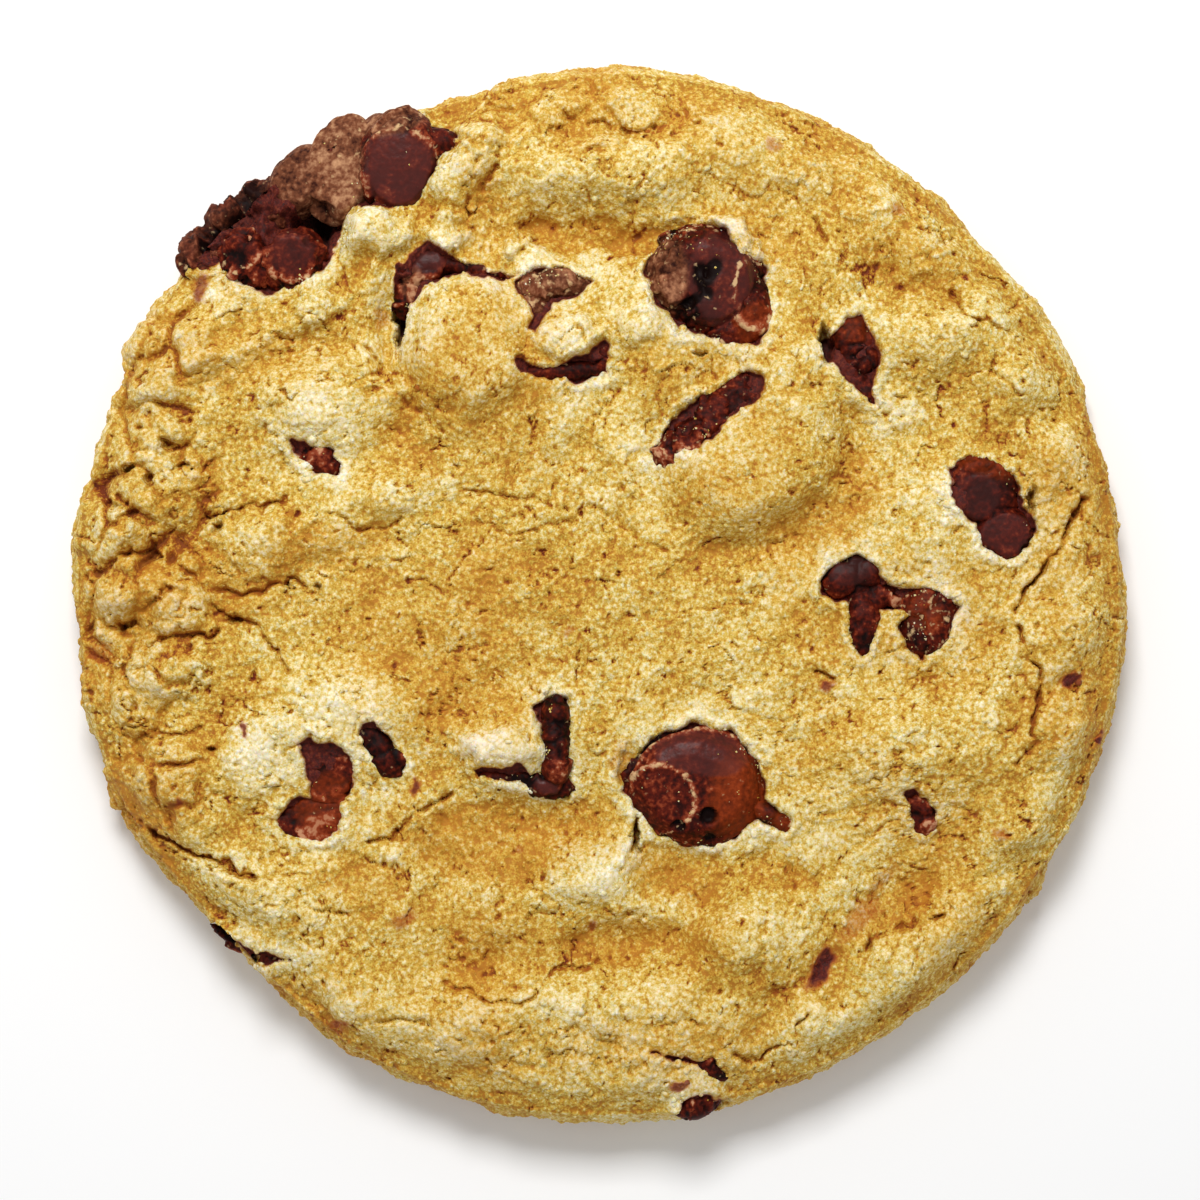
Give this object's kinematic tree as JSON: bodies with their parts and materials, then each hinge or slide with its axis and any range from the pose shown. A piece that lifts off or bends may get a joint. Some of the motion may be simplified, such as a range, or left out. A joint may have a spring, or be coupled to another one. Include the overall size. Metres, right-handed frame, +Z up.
{
  "type": "chocolate chip cookie",
  "caption": "Round soft-baked cookie with a craggy golden crust, a rounded edge and a flat base, set with dark chocolate pieces of uneven shapes.",
  "frame": {"origin": "middle of the cookie's outline, on the flat base", "axes": "+Z up through the top crust; +Y towards the top of the reference view, where the rim carries broken chocolate on its left"},
  "size_m": [0.0849, 0.0848, 0.012],
  "materials": {
    "crust": "baked dough: golden, matte and granular, paler round the chocolate, darker in the cracks",
    "chocolate": "dark chocolate: soft satin sheen, with glossy broken faces",
    "bloomed_chocolate": "chocolate dulled to a matte milky brown, dusted with crumbs"
  },
  "bodies": {
    "root": {"cookie_crust": "crust", "chip_edge_crumbled": "chocolate", "chip_edge_curl": "chocolate", "chip_edge_nugget": "bloomed_chocolate", "chip_edge_slab": "bloomed_chocolate", "chip_edge_cap": "chocolate", "chip_under_dome": "chocolate", "chip_dusted": "bloomed_chocolate", "chip_dome_sliver": "chocolate", "chip_pitted": "chocolate", "chip_long_sliver": "chocolate", "chip_wedge": "chocolate", "chip_two_lobed": "chocolate", "chip_hooked": "chocolate", "chip_rounded": "chocolate", "chip_west_small": "chocolate", "chip_boot": "chocolate", "chip_slanted": "chocolate", "chip_arch": "chocolate", "chip_round_disc": "chocolate", "chip_east_small": "chocolate", "chip_wall_west": "chocolate", "chip_crack_south": "chocolate", "chip_wall_south": "chocolate"}
  },
  "joints": []
}
